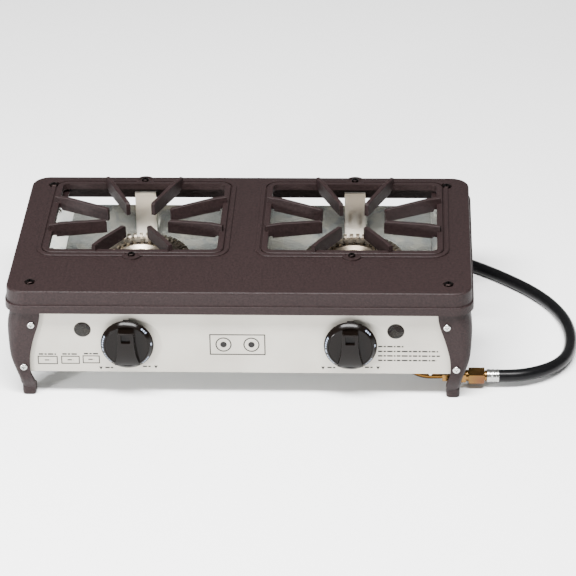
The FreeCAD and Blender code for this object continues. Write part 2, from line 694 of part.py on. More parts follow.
def burner_body(side):
    """Cast bowl with a mixing tube to the front and a lug at the back."""
    x = side * BURNER_X
    y = BURNER_Y
    floor = BOWL_BOTTOM + BOWL_WALL
    bowl = revolve([(0, BOWL_BOTTOM), (BOWL_R - 14, BOWL_BOTTOM), (BOWL_R, BOWL_BOTTOM + 12),
                    (BOWL_R, CAP_SEAT), (0, CAP_SEAT)], (x, y, 0))
    mixer = rod((x, BELL_FRONT + BELL_L, KNOB_Z), Y_AXIS, VENTURI_R, BURNER_Y - BELL_FRONT - BELL_L - 20)
    bell = rod((x, BELL_FRONT, KNOB_Z), Y_AXIS, BELL_R, BELL_L)
    lug = box((x - LUG_HALF_W, x + LUG_HALF_W), (y + BOWL_R - 8, y + BOWL_R + LUG_REACH),
              (STRAP_SEAT, STRAP_SEAT + LUG_T))
    lug = fillet_at(lug, 5.0, lambda c, e: c.y > y + BOWL_R + LUG_REACH - 1 and e.BoundBox.ZLength > 4)
    outside = fuse([bowl, mixer, bell, lug])
    chamber = revolve([(0, floor), (BOWL_R - 14, floor), (BOWL_R - BOWL_WALL, BOWL_BOTTOM + 13),
                       (BOWL_R - BOWL_WALL, CAP_SEAT + 1), (0, CAP_SEAT + 1)], (x, y, 0))
    bore = rod((x, BELL_FRONT, KNOB_Z), Y_AXIS, VENTURI_R - VENTURI_WALL, BURNER_Y - BELL_FRONT - 20)
    mouth = rod((x, BELL_FRONT, KNOB_Z), Y_AXIS, BELL_R - VENTURI_WALL, BELL_L - VENTURI_WALL)
    post = rod((x, y, floor - 1), Z_AXIS, BURNER_POST_R, CAP_SEAT + 2.0 - floor + 1)
    whole = fuse([cut(outside, [chamber, bore, mouth, air_windows(x, BELL_R)]), post])
    tapped = rod((x, y, floor + 6), Z_AXIS, M5_R + THREAD_FIT, CAP_SEAT - floor)
    lug_hole = rod((x, y + BOWL_R + LUG_SCREW, STRAP_SEAT), Z_AXIS, M5_R + HOLE_FIT, LUG_T)
    return cut(whole, [tapped, lug_hole])


def cap_screws():
    seat = BURNER_RING_Z - 3.0
    return group([pan_screw((s * BURNER_X, BURNER_Y, seat), Z_AXIS, M5_R, 16.0) for s in SIDES.values()])


def burner_strap(side):
    """Strip that hangs from the plate behind a burner and carries it."""
    x = side * BURNER_X
    xs = (x - STRAP_W / 2, x + STRAP_W / 2)
    seat_end = BURNER_Y + BOWL_R + 2
    drop = box(xs, (STRAP_Y, STRAP_Y + STRAP_T), (STRAP_SEAT - STRAP_T, LEDGE_BOTTOM))
    hook = box(xs, (STRAP_Y, STRAP_Y + STRAP_HOOK), (LEDGE_BOTTOM - STRAP_T, LEDGE_BOTTOM))
    seat = box(xs, (seat_end, STRAP_Y + STRAP_T), (STRAP_SEAT - STRAP_T, STRAP_SEAT))
    strap = fuse([drop, hook, seat])
    strap = fillet_at(strap, 4.0, lambda c, e: e.BoundBox.XLength > STRAP_W - 1 and (
        (abs(c.y - STRAP_Y - STRAP_T) < 1e-4 and abs(c.z - STRAP_SEAT + STRAP_T) < 1e-4)
        or (abs(c.y - STRAP_Y) < 1e-4 and abs(c.z - LEDGE_BOTTOM) < 1e-4)))
    ear = rod((x, BURNER_Y + EAR_Y, LEDGE_BOTTOM - 3), Z_AXIS, M5_R + HOLE_FIT, 4)
    lug = rod((x, BURNER_Y + BOWL_R + LUG_SCREW, STRAP_SEAT - 3), Z_AXIS, M5_R + HOLE_FIT, 4)
    return cut(strap, [ear, lug])


def strap_screws():
    y = BURNER_Y + BOWL_R + LUG_SCREW
    seat = STRAP_SEAT + LUG_T
    return group([pan_screw((s * BURNER_X, y, seat), Z_AXIS, M5_R, 13.0) for s in SIDES.values()])


def strap_nuts():
    y = BURNER_Y + BOWL_R + LUG_SCREW
    seat = STRAP_SEAT - STRAP_T
    return group([hex_nut((s * BURNER_X, y, seat), -Z_AXIS, M5_R) for s in SIDES.values()])


def air_shutter(side):
    """Cup that turns on the mixing tube's mouth and covers its two side windows."""
    x = side * BURNER_X
    inner = BELL_R + RUN_FIT
    outer = inner + SHUTTER_T
    front = BELL_FRONT - SHUTTER_T - FIT
    cup = rod((x, front, KNOB_Z), Y_AXIS, outer, SHUTTER_L + SHUTTER_T)
    cup = fillet_at(cup, 0.8, lambda c, e: abs(c.y - front) < 1e-4)
    hollow = rod((x, front + SHUTTER_T, KNOB_Z), Y_AXIS, inner, SHUTTER_L)
    hole = rod((x, front - 1, KNOB_Z), Y_AXIS, SHUTTER_HOLE_R, SHUTTER_T + 2)
    return cut(cup, [hollow, hole, air_windows(x, outer)])


# ---------------------------------------------------------------- valves
def valve_axis(side, y):
    return (side * KNOB_X, y, KNOB_Z)


def valve_body(side):
    """Brass body: spring chamber in front, plug seat behind, nipple down to the manifold."""
    start = BONNET_Y[1]
    body = rod(valve_axis(side, start), Y_AXIS, VALVE_R, VALVE_REAR - start)
    body = fillet_at(body, 1.5, lambda c, e: abs(c.y - VALVE_REAR) < 1e-4)
    x = side * KNOB_X
    saddle = rod((x, MANIFOLD_Y, MANIFOLD_Z), Z_AXIS, 7.5, KNOB_Z - MANIFOLD_Z)
    nipple = rod((x, MANIFOLD_Y, MANIFOLD_Z + MANIFOLD_R - 3.0), Z_AXIS, NIPPLE_R, 10.0)
    pipe = rod((x - 20, MANIFOLD_Y, MANIFOLD_Z), X_AXIS, MANIFOLD_R, 40)
    body = fuse([body, saddle.cut(pipe), nipple])
    chamber = rod(valve_axis(side, start), Y_AXIS, CHAMBER_R, SEAT_Y - start)
    seat = rod(valve_axis(side, SEAT_Y - 1), Y_AXIS, PLUG_R + RUN_FIT, PLUG_L + 1)
    outlet = rod(valve_axis(side, SEAT_Y), Y_AXIS, GAS_WAY_R, VALVE_REAR - SEAT_Y)
    socket = rod(valve_axis(side, VALVE_REAR - JET_THREAD_L), Y_AXIS, JET_R + THREAD_FIT, JET_THREAD_L)
    inlet = rod((x, MANIFOLD_Y, MANIFOLD_Z), Z_AXIS, GAS_WAY_R, KNOB_Z - MANIFOLD_Z)
    return cut(body, [chamber, seat, outlet, socket, inlet])


def valve_bonnet(side):
    """Screwed front of a valve, whose neck goes through the panel."""
    flange = rod(valve_axis(side, BONNET_Y[0]), Y_AXIS, VALVE_R, BONNET_Y[1] - BONNET_Y[0])
    neck = rod(valve_axis(side, PANEL_Y - NECK_OUT), Y_AXIS, NECK_R, PANEL_T + NECK_OUT)
    bonnet = fuse([flange, neck])
    stem_bore = rod(valve_axis(side, PANEL_Y - NECK_OUT - 1), Y_AXIS, STEM_R + RUN_FIT, 20)
    return bonnet.cut(stem_bore)


def valve_plug(side):
    """Brass plug that turns in its seat; the stem's blade drives it."""
    plug = rod(valve_axis(side, SEAT_Y), Y_AXIS, PLUG_R, PLUG_L - 0.3)
    x = side * KNOB_X
    slot = box((x - 2.3, x + 2.3), (SEAT_Y - 1, SEAT_Y + PUSH + 3.5), (KNOB_Z - 1.1, KNOB_Z + 1.1))
    way = rod(valve_axis(side, SEAT_Y + PUSH + 3.5), Y_AXIS, 1.5, PLUG_L)
    port = rod((x, MANIFOLD_Y, KNOB_Z - 7), Z_AXIS, 1.2, 7.0)
    return cut(plug, [slot, way, port])


def stem_washer(side):
    """Thrust washer between the spring and the stem's collar."""
    back = BONNET_Y[1] + 1.5
    return tube(valve_axis(side, back), Y_AXIS, CHAMBER_R - 0.3, STEM_R + RUN_FIT, WASHER_T)


def valve_stem(side):
    """Spindle: flat for the knob in front, collar behind the bonnet, blade in the plug."""
    x = side * KNOB_X
    front = KNOB_BACK - 9.0
    collar_front = BONNET_Y[1] + 0.1
    back = SEAT_Y - PUSH - 0.3
    shank = rod(valve_axis(side, front), Y_AXIS, STEM_R, back - front)
    collar = rod(valve_axis(side, collar_front), Y_AXIS, COLLAR_R, COLLAR_T)
    blade = box((x - 2.2, x + 2.2), (back - 0.5, SEAT_Y + 3.0), (KNOB_Z - 1.0, KNOB_Z + 1.0))
    stem = fuse([shank, collar, blade])
    flat = box((x - 5, x + 5), (front - 1, PANEL_Y - NECK_OUT - 1), (KNOB_Z + STEM_FLAT, KNOB_Z + 5))
    return stem.cut(flat)


def stem_spring(side):
    """Coil spring that pushes the stem out and keeps the plug in its seat."""
    start = BONNET_Y[1] + 1.5 + WASHER_T + SPRING_WIRE + 0.15
    height = SEAT_Y - start - SPRING_WIRE - 0.15
    helix = Part.makeHelix(height / SPRING_TURNS, height, SPRING_R)
    ring = Part.Wire(Part.makeCircle(SPRING_WIRE, V(SPRING_R, 0, 0), Y_AXIS))
    spring = Part.Wire(helix.Edges).makePipeShell([ring], True, True)
    spring.Placement = FreeCAD.Placement(V(*valve_axis(side, start)), FreeCAD.Rotation(Z_AXIS, Y_AXIS))
    return spring


def panel_neck_nuts():
    """Thin nuts that clamp the valve necks to the panel, under the knobs."""
    nuts = []
    for side in SIDES.values():
        nut = hexagon(valve_axis(side, PANEL_Y - NECK_NUT_T), Y_AXIS, NECK_NUT_AF, NECK_NUT_T)
        nuts.append(nut.cut(rod(valve_axis(side, PANEL_Y - 4), Y_AXIS, NECK_R + THREAD_FIT, 5)))
    return group(nuts)


def jet(side):
    """Brass jet at the back of a valve, pointing into the mixing tube."""
    x = side * BURNER_X
    thread = rod((x, VALVE_REAR - JET_THREAD_L, KNOB_Z), Y_AXIS, JET_R, JET_THREAD_L)
    head = hexagon((x, VALVE_REAR, KNOB_Z), Y_AXIS, 8.0, 5.0)
    nose = rod((x, VALVE_REAR + 5, KNOB_Z), Y_AXIS, 3.0, 4.5)
    nose = fillet_at(nose, 1.2, lambda c, e: c.y > VALVE_REAR + 9)
    return fuse([thread, head, nose]).cut(rod((x, VALVE_REAR - 5, KNOB_Z), Y_AXIS, 0.6, 20))


def knob_bar(x, face):
    """Grip bar: narrow and high at its top, wide and almost level with the face at its foot."""
    tip = face - KNOB_BAR_RISE
    foot = face - BAR_FOOT_RISE
    root = face + 3
    low = [(x - 16.5, root, BAR_FOOT - 1.5), (x + 16.5, root, BAR_FOOT - 1.5),
           (x + 11.5, root, BAR_TOP + 2.5), (x - 11.5, root, BAR_TOP + 2.5)]
    high = [(x - 13.0, foot, BAR_FOOT), (x + 13.0, foot, BAR_FOOT),
            (x + 9.5, tip, BAR_TOP), (x - 9.5, tip, BAR_TOP)]
    wires = []
    for ring in (low, high):
        corners = [V(cx, cy, KNOB_Z + cz) for cx, cy, cz in ring]
        wires.append(Part.makePolygon(corners + [corners[0]]))
    return Part.makeLoft(wires, True, True)


def knob(side):
    """Moulded knob, hollow behind, with a bevelled rim, an index nub, a grip bar and its pocket."""
    x = side * KNOB_X
    face = KNOB_BACK - KNOB_SKIRT_H
    profile = [(0, 0), (KNOB_R - 1.0, 0), (KNOB_R, 1.0), (KNOB_R, 3.0), (KNOB_FACE_R + 0.6, KNOB_SKIRT_H),
               (KNOB_FACE_R - 0.4, KNOB_SKIRT_H - 0.6), (0, KNOB_SKIRT_H - 0.6)]
    body = revolve(profile, valve_axis(side, KNOB_BACK), -Y_AXIS)
    whole = fuse([body, knob_bar(x, face)])
    whole = fillet_at(whole, 1.2, lambda c, e: c.y < face - 3.0 and e.Length > 10)
    nub = box((x - 4.5, x + 4.5), (KNOB_BACK - 2.6, KNOB_BACK), (KNOB_Z + KNOB_R - 2, KNOB_Z + KNOB_R + 1.6))
    whole = fuse([whole, nub])
    roof = KNOB_SKIRT_H - KNOB_WALL
    hub_r = 9.0
    hollow = revolve([(hub_r, -1), (KNOB_R - KNOB_WALL, -1), (KNOB_R - KNOB_WALL, 2.0),
                      (KNOB_FACE_R - KNOB_WALL, roof), (hub_r, roof)], valve_axis(side, KNOB_BACK), -Y_AXIS)
    clear = rod(valve_axis(side, KNOB_BACK - 2.5), Y_AXIS, hub_r + 1.5, 4)
    bore = rod(valve_axis(side, KNOB_BACK - KNOB_BORE), Y_AXIS, STEM_R + RUN_FIT, KNOB_BORE + 2)
    flat = box((x - 5, x + 5), (KNOB_BACK - KNOB_BORE - 1, KNOB_BACK + 2),
               (KNOB_Z + STEM_FLAT + RUN_FIT, KNOB_Z + 6))
    floor = face - KNOB_BAR_RISE + 8.0
    pocket = box((x - POCKET_HALF_W, x + POCKET_HALF_W), (floor - 12, floor),
                 (KNOB_Z + POCKET_Z[0], KNOB_Z + POCKET_Z[1]))
    return cut(whole, [hollow, clear, bore.cut(flat), pocket])


# ---------------------------------------------------------------- gas supply on the stove
def manifold_pipe():
    left, right = MANIFOLD_X
    pipe = tube((left, MANIFOLD_Y, MANIFOLD_Z), X_AXIS, MANIFOLD_R, MANIFOLD_R - MANIFOLD_WALL, right - left)
    radius = NIPPLE_R + THREAD_FIT
    holes = [rod((s * KNOB_X, MANIFOLD_Y, MANIFOLD_Z), Z_AXIS, radius, 10) for s in SIDES.values()]
    return cut(pipe, holes)


def manifold_plug():
    left = MANIFOLD_X[0]
    inner = MANIFOLD_R - MANIFOLD_WALL - THREAD_FIT
    head = hexagon((left - 5, MANIFOLD_Y, MANIFOLD_Z), X_AXIS, 17.0, 5)
    return fuse([head, rod((left, MANIFOLD_Y, MANIFOLD_Z), X_AXIS, inner, 8)])


def manifold_union():
    """Fitting in the manifold's right end, male for the tube's nut."""
    right = MANIFOLD_X[1]
    inner = MANIFOLD_R - MANIFOLD_WALL - THREAD_FIT
    at = (right, MANIFOLD_Y, MANIFOLD_Z)
    union = fuse([rod((right - 8, MANIFOLD_Y, MANIFOLD_Z), X_AXIS, inner, 8), hexagon(at, X_AXIS, 17.0, 6),
                  rod((right + 6, MANIFOLD_Y, MANIFOLD_Z), X_AXIS, 6.5, 7)])
    return union.cut(rod((right - 9, MANIFOLD_Y, MANIFOLD_Z), X_AXIS, 3.2, 30))


TUBE_START = MANIFOLD_X[1] + 13.0
TUBE_END = BRACKET_X - 12.0
TUBE_ROUTE = [(TUBE_START, MANIFOLD_Y, MANIFOLD_Z), (TUBE_START + 24, MANIFOLD_Y, MANIFOLD_Z),
              (TUBE_START + 54, INLET_Y, INLET_Z), (TUBE_END, INLET_Y, INLET_Z)]


def inlet_tube():
    return swept_tube(TUBE_ROUTE, TUBE_R, TUBE_R - 1.0)[0]


def tube_nuts():
    """Flare nuts that hold the two ends of the inlet tube."""
    nuts = []
    ends = ((TUBE_START - 7, MANIFOLD_Y, MANIFOLD_Z, 1), (TUBE_END + 6.5, INLET_Y, INLET_Z, -1))
    for x, y, z, flip in ends:
        direction = V(flip, 0, 0)
        nut = hexagon((x, y, z), direction, 16.0, 16.0)
        nut = nut.cut(rod((x, y, z), direction, 6.5 + THREAD_FIT, 7))
        nuts.append(nut.cut(rod((x, y, z), direction, TUBE_R + THREAD_FIT, 17)))
    return group(nuts)


def inlet_fitting():
    """Flare union held by the bracket, with the hose's thread outside."""
    left = TUBE_END
    parts = [rod((left, INLET_Y, INLET_Z), X_AXIS, 6.5, 7.0),
             rod((left + 7, INLET_Y, INLET_Z), X_AXIS, FLARE_R, FLARE_TIP_X - 2.5 - left - 7),
             hexagon((BRACKET_X + BRACKET_T, INLET_Y, INLET_Z), X_AXIS, 19.0, 8.0)]
    cone = Part.makeCone(FLARE_R, FLARE_R - 2.5, 2.5, V(FLARE_TIP_X - 2.5, INLET_Y, INLET_Z), X_AXIS)
    fitting = fuse(parts + [cone])
    return fitting.cut(rod((left - 1, INLET_Y, INLET_Z), X_AXIS, 3.2, 60))


def inlet_locknut():
    nut = hexagon((BRACKET_X - 4, INLET_Y, INLET_Z), X_AXIS, 19.0, 4.0)
    return nut.cut(rod((BRACKET_X - 5, INLET_Y, INLET_Z), X_AXIS, FLARE_R + THREAD_FIT, 6))


def inlet_bracket():
    """Angle that hangs the inlet fitting from the panel's lower flange."""
    x, y = BRACKET_SCREW
    back = INLET_Y + 12.0
    low = PANEL_BOTTOM + PANEL_T
    high = low + BRACKET_T
    plate = box((BRACKET_X, BRACKET_X + BRACKET_T), (LEG_CLEAR_Y, back), (INLET_Z - 12.0, high))
    shelf = box((x - 8, BRACKET_X + BRACKET_T), (LEG_CLEAR_Y, back), (low, high))
    tongue = box((x - 8, x + 11), (PANEL_Y + 2.0, LEG_CLEAR_Y + 1), (low, high))
    bracket = fuse([plate, shelf, tongue])
    hole = rod((BRACKET_X - 1, INLET_Y, INLET_Z), X_AXIS, FLARE_R + HOLE_FIT, BRACKET_T + 2)
    bolt = rod((x, y, low - 1), Z_AXIS, M4_R + HOLE_FIT, BRACKET_T + 2)
    return cut(bracket, [hole, bolt])


def bracket_screw():
    """Small screw and nut that fix the bracket to the panel's flange."""
    x, y = BRACKET_SCREW
    head_seat = (x, y, PANEL_BOTTOM + PANEL_T + BRACKET_T)
    return group([pan_screw(head_seat, Z_AXIS, M4_R, 9.0), hex_nut((x, y, PANEL_BOTTOM), -Z_AXIS, M4_R)])


# ---------------------------------------------------------------- hose, regulator and what is on them
HOSE_START_X = FERRULE_X[1]
HOSE_ROUTE = [(HOSE_START_X + x, y, z) for x, y, z in (
    (0.0, -133.0, 17.0), (20.0, -133.0, 17.0), (41.3, -127.7, 17.0), (63.0, -115.5, 16.0),
    (81.0, -97.0, 14.0), (94.5, -72.0, 11.5), (102.5, -39.0, 9.6), (104.0, 1.0, 8.9),
    (97.5, 42.0, 8.9), (81.0, 84.0, 8.9), (55.0, 123.0, 8.9), (19.0, 161.0, 8.9),
    (-27.0, 201.0, 8.9), (-81.0, 236.0, 8.9), (-146.0, 262.0, 8.9), (-218.0, 276.0, 8.9),
    (-290.0, 277.0, 8.9), (-356.0, 270.0, 9.6), (-408.0, 263.0, 12.5), (-452.0, 262.0, 14.0),
    (-484.0, 262.0, 14.0))]


def gas_hose():
    solid, length, radii = swept_tube(HOSE_ROUTE, HOSE_R)
    section = math.pi * HOSE_R ** 2
    print("hose length %.1f mm, volume check %.4f" % (length, solid.Volume / section / length))
    print("hose arc radii:", " ".join("%.0f" % r for r in radii))
    return solid


def hose_stem():
    """Flared nipple inside the swivel nut, with the ferrule's shoulder."""
    x = FLARE_TIP_X + 0.4
    y = INLET_Y
    z = INLET_Z
    stem = fuse([rod((x, y, z), X_AXIS, FLARE_R - 0.3, 8.0),
                 rod((x + 8, y, z), X_AXIS, 5.9, HOSE_NUT_X[1] - x - 8 + 0.6),
                 rod((HOSE_NUT_X[1] + 0.6, y, z), X_AXIS, 7.5, FERRULE_X[0] - HOSE_NUT_X[1] - 0.6)])
    return stem.cut(rod((x - 1, y, z), X_AXIS, 3.0, 30))


def hose_nut():
    """Swivel nut, free to turn on the nipple."""
    x0, x1 = HOSE_NUT_X
    at = (x0, INLET_Y, INLET_Z)
    nut = hexagon(at, X_AXIS, HOSE_NUT_AF, x1 - x0)
    corner_r = HOSE_NUT_AF / 2 / math.cos(math.radians(30))
    bounds = revolve([(0, 0), (corner_r - 1.6, 0), (corner_r + 0.2, 1.8), (corner_r + 0.2, x1 - x0 - 1.8),
                      (corner_r - 1.6, x1 - x0), (0, x1 - x0)], at, X_AXIS)
    nut = nut.common(bounds)
    thread = rod((x0 - 1, INLET_Y, INLET_Z), X_AXIS, FLARE_R + RUN_FIT, FLARE_TIP_X + 8.5 - x0 + 1)
    neck = rod(at, X_AXIS, 5.9 + RUN_FIT, x1 - x0 + 1)
    return cut(nut, [thread, neck])


def ferrule(x0, x1, y, z):
    """Crimped sleeve with two pressed grooves."""
    length = x1 - x0
    r = FERRULE_R
    profile = [(3.1, 0), (r - 0.6, 0), (r, 0.6)]
    for middle in (length * 0.35, length * 0.7):
        profile += [(r, middle - 2.0), (r - 0.5, middle - 1.2), (r - 0.5, middle + 1.2), (r, middle + 2.0)]
    profile += [(r, length - 0.6), (r - 0.6, length), (3.1, length)]
    return revolve(profile, (x0, y, z), X_AXIS)


def hose_ferrules():
    end_x, end_y, end_z = HOSE_ROUTE[-1]
    return group([ferrule(FERRULE_X[0], FERRULE_X[1], INLET_Y, INLET_Z),
                  ferrule(end_x - 17.0, end_x, end_y, end_z)])


def regulator_body():
    """Lower shell of the regulator with its inlet and outlet necks."""
    at = (REG_X, REG_Y, 0)
    flange = REG_Z
    shell = revolve([(0, 0.2), (15.0, 0.2), (20.0, 4.0), (24.0, flange - 5), (REG_R, flange - 4),
                     (REG_R, flange), (0, flange)], at)
    end_x = HOSE_ROUTE[-1][0] - 17.0
    neck = rod((REG_X, REG_Y, HOSE_ROUTE[-1][2]), X_AXIS, 7.5, end_x - REG_X)
    inlet = rod((REG_X, REG_Y, REG_Z), -X_AXIS, 8.0, 66.0)
    inlet = inlet.common(box((REG_X - 80, REG_X), (REG_Y - 10, REG_Y + 10), (0, 60)))
    collar = rod((REG_X - 26, REG_Y, REG_Z), -X_AXIS, 10.5, 12.0)
    cover_space = rod((REG_X, REG_Y, flange), Z_AXIS, REG_R + FIT, 30)
    body = fuse([shell, neck, inlet.cut(cover_space), collar.cut(cover_space)])
    far = rod((REG_X - 38, REG_Y, REG_Z), -X_AXIS, 8.0, 28.0)
    body = fuse([body, far])
    return cut(body, [rod((REG_X - 70, REG_Y, REG_Z), X_AXIS, 3.0, 30)] + regulator_screw_holes())


def regulator_cover():
    """Upper shell with the spring tower and a vent hole."""
    at = (REG_X, REG_Y, 0)
    low = REG_Z
    cover = revolve([(0, low), (REG_R, low), (REG_R, low + 3.5), (24.0, low + 3.5), (22.5, low + 6.0),
                     (20.0, low + 13.0), (13.0, low + 15.0), (12.0, low + 22.0), (0, low + 22.0)], at)
    cover = fillet_at(cover, 1.5, flat_edge(low + 22.0))
    vent = rod((REG_X + 17, REG_Y, low + 8), Z_AXIS, 1.5, 20)
    return cut(cover, [vent] + regulator_screw_holes())


def regulator_screw_places():
    places = []
    for i in range(6):
        a = math.radians(30 + 60 * i)
        places.append((REG_X + 27.5 * math.cos(a), REG_Y + 27.5 * math.sin(a)))
    return places


def regulator_screw_holes():
    radius = REG_SCREW_R + THREAD_FIT
    return [rod((x, y, REG_Z - 5), Z_AXIS, radius, 12) for x, y in regulator_screw_places()]


def regulator_screws():
    seat = REG_Z + 3.5
    screws = [pan_screw((x, y, seat), Z_AXIS, REG_SCREW_R, 7.0) for x, y in regulator_screw_places()]
    return group(screws)


def cylinder_nut():
    """Hand nut for the gas cylinder, free to turn on the regulator's inlet."""
    back = REG_X - 44.0
    length = 34.0
    at = (back, REG_Y, REG_Z)
    wheel = revolve([(0, 0), (WHEEL_R - 7, 0), (WHEEL_R - 2, 5), (WHEEL_R, 9), (WHEEL_R, length - 2),
                     (WHEEL_R - 2, length), (0, length)], at, -X_AXIS)
    grooves = []
    for i in range(12):
        a = math.radians(30 * i + 15)
        y = REG_Y + (WHEEL_R + 1.0) * math.cos(a)
        z = REG_Z + (WHEEL_R + 1.0) * math.sin(a)
        grooves.append(rod((back - 8, y, z), -X_AXIS, 2.6, length))
    socket = rod((back - 8, REG_Y, REG_Z), -X_AXIS, 15.5, length)
    neck = rod((back + 1, REG_Y, REG_Z), -X_AXIS, 8.0 + RUN_FIT, 20)
    return cut(wheel, grooves + [socket, neck])


# ---------------------------------------------------------------- the whole stove
def build():
    pieces = {"top_plate": top_plate(), "front_panel": front_panel(), "burner_tray": burner_tray()}
    pieces.update(legs())
    paired = {"grate": grate, "burner_body": burner_body, "burner_cap": burner_cap,
              "burner_strap": burner_strap, "air_shutter": air_shutter, "jet": jet,
              "valve_body": valve_body, "valve_bonnet": valve_bonnet, "valve_plug": valve_plug,
              "valve_stem": valve_stem, "stem_washer": stem_washer, "stem_spring": stem_spring,
              "knob": knob}
    for name, make in paired.items():
        for side, sign in SIDES.items():
            pieces[name + "_" + side] = make(sign)
    single = (plate_screws, grate_screws, grate_nuts, leg_screws, leg_nuts, cap_screws, strap_screws,
              strap_nuts, panel_neck_nuts, manifold_pipe, manifold_plug, manifold_union, inlet_tube,
              tube_nuts, inlet_fitting, inlet_locknut, inlet_bracket, bracket_screw, hose_nut, hose_stem,
              hose_ferrules, gas_hose, regulator_body, regulator_cover, regulator_screws,
              cylinder_nut)
    for make in single:
        pieces[make.__name__] = make()
    return pieces


os.makedirs("parts", exist_ok=True)
for name, shape in build().items():
    shape = shape.copy()
    shape.translate(V(0, SHIFT_Y, 0))
    if not shape.isValid():
        print("NOT VALID", name)
    shape.exportStep("parts/" + name + ".step")
    print("%-20s solids %2d  volume %9.0f mm3" % (name, len(shape.Solids), shape.Volume))
print("shift of the drawing along Y: %.2f mm" % SHIFT_Y)
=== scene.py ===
# %% [markdown]
# # A two-burner camp stove
# The measured model of the stove is loaded first. It is a set of plain shapes in real metres, one
# for each piece, and it fixes where everything is. This notebook gives the pieces their looks:
# materials for those whose shape is already right, and new, finer meshes for those that need more
# form, such as the knobs and the hose.

# %% Load the measured model
import bpy, bmesh
import json, math
from mathutils import Matrix, Vector


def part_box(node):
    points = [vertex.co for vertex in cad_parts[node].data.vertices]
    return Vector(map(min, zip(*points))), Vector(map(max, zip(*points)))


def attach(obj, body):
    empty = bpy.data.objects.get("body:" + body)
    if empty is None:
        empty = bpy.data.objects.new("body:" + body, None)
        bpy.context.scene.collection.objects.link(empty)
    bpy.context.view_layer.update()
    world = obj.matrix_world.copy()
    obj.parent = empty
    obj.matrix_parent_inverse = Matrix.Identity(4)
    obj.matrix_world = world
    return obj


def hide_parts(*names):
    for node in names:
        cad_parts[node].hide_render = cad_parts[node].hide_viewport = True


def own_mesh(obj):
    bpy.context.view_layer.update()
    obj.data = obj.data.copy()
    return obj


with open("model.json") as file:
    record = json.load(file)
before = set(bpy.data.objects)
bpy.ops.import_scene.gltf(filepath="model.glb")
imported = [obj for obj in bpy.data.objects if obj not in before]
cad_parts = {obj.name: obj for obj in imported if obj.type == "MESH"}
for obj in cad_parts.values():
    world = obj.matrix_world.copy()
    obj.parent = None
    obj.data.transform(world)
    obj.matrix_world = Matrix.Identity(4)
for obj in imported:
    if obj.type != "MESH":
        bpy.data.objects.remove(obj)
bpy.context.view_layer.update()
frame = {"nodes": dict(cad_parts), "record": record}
nodes = frame["nodes"]
MM = 0.001

# %% [markdown]
# ## The camera
# The stove is seen from in front, a little to the right of its middle and from well above, with a
# long lens, so its edges run almost parallel. Three unit vectors hold the camera's turn: where it
# looks, its right and its up. A small shift of the film moves the stove in the frame without
# turning the camera.

# %% Camera
CAMERA_PLACE = Vector((0.23197, -3.52751, 2.00003))
YAW, PITCH, ROLL = (math.radians(a) for a in (-3.585, 28.431, -1.378))
ahead = Vector((math.sin(YAW) * math.cos(PITCH), math.cos(YAW) * math.cos(PITCH), -math.sin(PITCH)))
level = Vector((math.cos(YAW), -math.sin(YAW), 0))
upright = level.cross(ahead)
right = level * math.cos(ROLL) + upright * math.sin(ROLL)
up = upright * math.cos(ROLL) - level * math.sin(ROLL)
camera_data = bpy.data.cameras.new("camera")
camera_data.lens = 178.83
camera_data.shift_x = 0.0610
camera_data.shift_y = -0.0027
camera = bpy.data.objects.new("camera", camera_data)
turn = Matrix((right, up, -ahead)).transposed()
camera.matrix_world = Matrix.Translation(CAMERA_PLACE) @ turn.to_4x4()
bpy.context.scene.collection.objects.link(camera)
bpy.context.scene.camera = camera
print("camera looks down", round(math.degrees(PITCH), 1), "degrees")

# %% [markdown]
# ## The gas hose
# A rubber hose keeps one smooth line, so it is a NURBS curve: its control points pull the line
# towards them without a corner anywhere. It leaves the crimped sleeve straight, comes down to the
# ground within a hand's width, swings round the stove's right end and ends in the regulator behind.

# %% Hose curve
SHIFT_Y = 0.0085
HOSE_D = 0.0175
HOSE_POINTS = [
    (354.0, -133.0, 17.0), (374.0, -133.0, 17.0), (395.3, -127.7, 17.0), (417.0, -115.5, 16.0),
    (435.0, -97.0, 14.0), (448.5, -72.0, 11.5), (456.5, -39.0, 9.6), (458.0, 1.0, 8.9),
    (451.5, 42.0, 8.9), (435.0, 84.0, 8.9), (409.0, 123.0, 8.9), (373.0, 161.0, 8.9),
    (327.0, 201.0, 8.9), (273.0, 236.0, 8.9), (208.0, 262.0, 8.9), (136.0, 276.0, 8.9),
    (64.0, 277.0, 8.9), (-2.0, 270.0, 9.6), (-54.0, 263.0, 12.5), (-98.0, 262.0, 14.0),
    (-130.0, 262.0, 14.0),
]
hose_data = bpy.data.curves.new("gas_hose_line", "CURVE")
hose_data.dimensions = "3D"
spline = hose_data.splines.new("NURBS")
spline.points.add(len(HOSE_POINTS) - 1)
for point, (x, y, z) in zip(spline.points, HOSE_POINTS):
    point.co = (x * MM, y * MM + SHIFT_Y, z * MM, 1)
    point.radius = HOSE_D / 2
spline.order_u = 3
spline.use_endpoint_u = True
spline.resolution_u = 12
hose_data.bevel_depth = 1.0
hose_data.bevel_resolution = 8
hose_data.use_fill_caps = True
hose = bpy.data.objects.new("hose", hose_data)
bpy.context.scene.collection.objects.link(hose)
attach(hose, "stove")
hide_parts("gas_hose")
print("hose control points:", len(HOSE_POINTS))

# %% [markdown]
# ## Small tools
# A material is a tree of nodes. Two helpers keep the cells short: one adds a node and fills in its
# sockets, the other starts a material with its Principled shader.

# %% Node helpers
def add_node(tree, kind, inputs=None, **settings):
    node = tree.nodes.new(kind)
    for key, value in settings.items():
        setattr(node, key, value)
    for key, value in (inputs or {}).items():
        if isinstance(value, bpy.types.NodeSocket):
            tree.links.new(value, node.inputs[key])
        else:
            node.inputs[key].default_value = value
    return node


